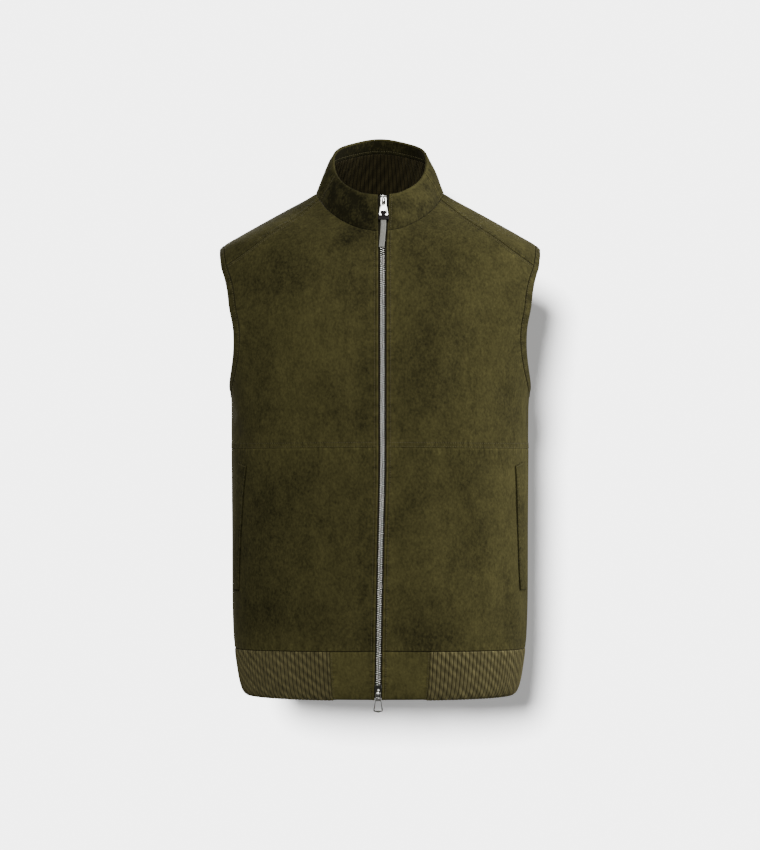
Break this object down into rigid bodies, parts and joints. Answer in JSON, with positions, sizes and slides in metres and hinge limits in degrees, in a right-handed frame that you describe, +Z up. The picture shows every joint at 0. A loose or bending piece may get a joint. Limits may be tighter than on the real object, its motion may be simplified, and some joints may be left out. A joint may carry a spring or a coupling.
{
  "type": "gilet",
  "caption": "Sleeveless suede zip-front gilet, filled out as worn: stand collar with knit lining, two-way zip, side welt pockets and a rib-knit hem.",
  "frame": {"origin": "on the garment's centre plane between the two shoulders, at the height where the shoulders meet the collar, where the wearer carries it", "axes": "+X the viewer's right, -Y the front with the zip, +Z up"},
  "size_m": [0.4192, 0.2654, 0.7446],
  "materials": {
    "suede": "olive suede with a short brushed nap, matt, mottled",
    "rib_knit": "olive rib knit, matt",
    "lining_knit": "dark olive rib knit, matt",
    "zip_tape": "olive woven tape",
    "zip_metal": "polished nickel",
    "loop_leather": "dark brown smooth leather",
    "strap_weave": "grey woven strap, plain"
  },
  "bodies": {
    "garment": {"front_left_upper": "suede", "front_left_lower": "suede", "front_right_upper": "suede", "front_right_lower": "suede", "back": "suede", "armhole_band_left": "suede", "armhole_band_right": "suede", "collar_front_left": "suede", "collar_front_right": "suede", "collar_back": "suede", "collar_facing": "suede", "collar_rib_lining": "lining_knit", "hem_tab_left": "suede", "hem_tab_right": "suede", "hem_rib": "rib_knit", "pocket_welt_left": "suede", "pocket_welt_right": "suede", "zip_tape_left": "zip_tape", "zip_tape_right": "zip_tape", "zip_chain": "zip_metal", "top_slider": "zip_metal", "bottom_slider": "zip_metal"},
    "top_pull": {"top_pull_tab": "zip_metal", "top_pull_loop": "loop_leather", "top_pull_strap": "strap_weave"},
    "bottom_pull": {"bottom_pull_tab": "zip_metal"}
  },
  "joints": [
    {"name": "top_pull_hinge", "type": "hinge", "parent": "garment", "child": "top_pull", "pos_m": [0.0044, -0.0777, -0.0069], "axis": [-1, 0, 0], "range_deg": [0, 150]},
    {"name": "bottom_pull_hinge", "type": "hinge", "parent": "garment", "child": "bottom_pull", "pos_m": [-0.0024, -0.1248, -0.6397], "axis": [-1, 0, 0], "range_deg": [0, 150]}
  ]
}
